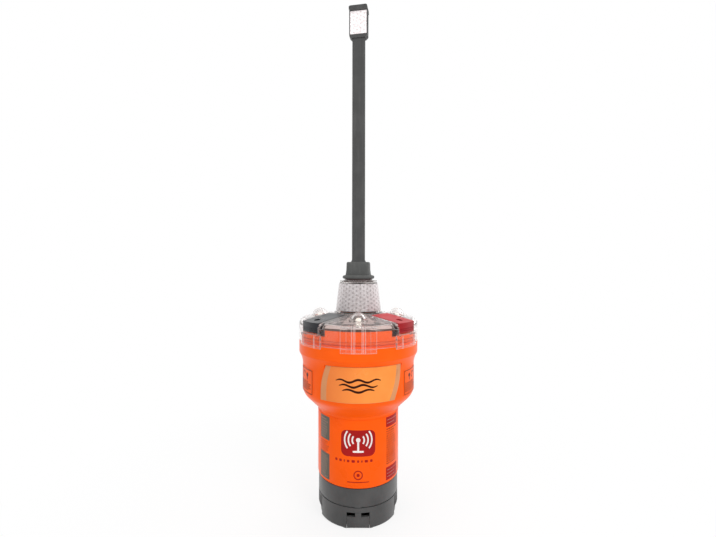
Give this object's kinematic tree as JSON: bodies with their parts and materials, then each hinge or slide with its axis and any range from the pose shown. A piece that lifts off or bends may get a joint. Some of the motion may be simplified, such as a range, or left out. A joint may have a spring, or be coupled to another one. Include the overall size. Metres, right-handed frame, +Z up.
{
  "type": "emergency position beacon",
  "caption": "Floating emergency position beacon: slim tube with a wide head, clear lamp dome, sliding switches, a lanyard flap and a whip antenna that folds down beside the case.",
  "frame": {"origin": "centre of the base's underside, on the axis of the case", "axes": "+Z up along the case's axis towards the whip, -Y out of the front label and the lanyard flap, +X towards the red slide's side"},
  "size_m": [0.0992, 0.1018, 0.421],
  "materials": {
    "case_orange": "moulded, slightly glossy, high-visibility orange",
    "label_gloss": "laminated label, lighter orange",
    "label_wrap": "laminated wrap-round label",
    "clear_dome": "clear moulded polycarbonate",
    "base_grey": "fine moulded texture",
    "frame_grey": "satin moulded grey",
    "slide_red": "moulded red",
    "slide_black": "moulded near-black",
    "sleeve_grey": "moulded rubber sleeve",
    "neck_dark": "glossy near-black",
    "tape": "retroreflective prismatic tape",
    "lamp": "clear epoxy over a phosphor chip",
    "board_green": "solder mask",
    "ceramic": "fired ceramic",
    "switch_glass": "glass tube",
    "steel": "stainless steel",
    "magnet": "plated magnet",
    "brass": "turned brass",
    "seal_rubber": "moulded rubber",
    "cell_wrap": "shrink sleeve",
    "tray_grey": "moulded",
    "wire": "insulated wire",
    "cord": "braided floating cord, near-black",
    "sounder_black": "moulded"
  },
  "bodies": {
    "case": {"main_case": "case_orange", "head_label": "label_gloss", "side_labels": "label_gloss", "body_label": "label_wrap", "water_contacts": "steel", "battery_cover": "base_grey", "base_seal": "seal_rubber", "base_screws": "steel", "base_cap": "base_grey", "flap_pin": "steel", "lanyard_spool": "tray_grey", "lanyard": "cord", "dome": "clear_dome", "dome_seal": "seal_rubber", "tower_tape": "tape", "return_spring": "steel", "inner_frame": "frame_grey", "frame_screws": "steel", "strobe_leds": "lamp", "reed_switches": "switch_glass", "main_board": "board_green", "shield_can": "steel", "position_antenna": "ceramic", "sounder": "sounder_black", "battery_cells": "cell_wrap", "battery_tray": "tray_grey", "battery_clamp": "tray_grey", "battery_lead": "wire", "antenna_base": "neck_dark", "antenna_seal": "seal_rubber", "antenna_nut": "brass", "antenna_feed": "wire", "antenna_boot": "sleeve_grey"},
    "activation": {"activation_slide": "slide_red", "activation_magnet": "magnet"},
    "test": {"test_slide": "slide_black", "test_magnet": "magnet"},
    "flap": {"lanyard_flap": "base_grey"},
    "flex_1": {"flex_link_1": "sleeve_grey"},
    "flex_2": {"flex_link_2": "sleeve_grey"},
    "blade": {"antenna_blade": "sleeve_grey", "radiator_strip": "steel", "tip_cap": "sleeve_grey", "tip_tapes": "tape"}
  },
  "joints": [
    {"name": "whip_bend_1", "type": "hinge", "parent": "case", "child": "flex_1", "pos_m": [0, 0, 0.2085], "axis": [0.9848, -0.1736, 0], "range_deg": [-60, 60], "stiffness_Nm_per_rad": 0.6},
    {"name": "whip_bend_2", "type": "hinge", "parent": "flex_1", "child": "flex_2", "pos_m": [0, 0, 0.241], "axis": [0.9848, -0.1736, 0], "range_deg": [-60, 60]},
    {"name": "whip_bend_3", "type": "hinge", "parent": "flex_2", "child": "blade", "pos_m": [0, 0, 0.2735], "axis": [0.9848, -0.1736, 0], "range_deg": [-60, 60]},
    {"name": "activation_pull", "type": "slide", "parent": "case", "child": "activation", "axis": [0.756, -0.6343, -0.1616], "range_m": [0, 0.008]},
    {"name": "test_pull", "type": "slide", "parent": "case", "child": "test", "axis": [-0.756, -0.6343, -0.1616], "range_m": [0, 0.005], "stiffness_N_per_m": 300},
    {"name": "lanyard_flap_open", "type": "hinge", "parent": "case", "child": "flap", "pos_m": [0, -0.0301, 0.003], "axis": [1, 0, 0], "range_deg": [0, 85]}
  ],
  "couplings": [
    {"joint": "whip_bend_2", "follows": "whip_bend_1", "ratio": 1},
    {"joint": "whip_bend_3", "follows": "whip_bend_1", "ratio": 1}
  ]
}
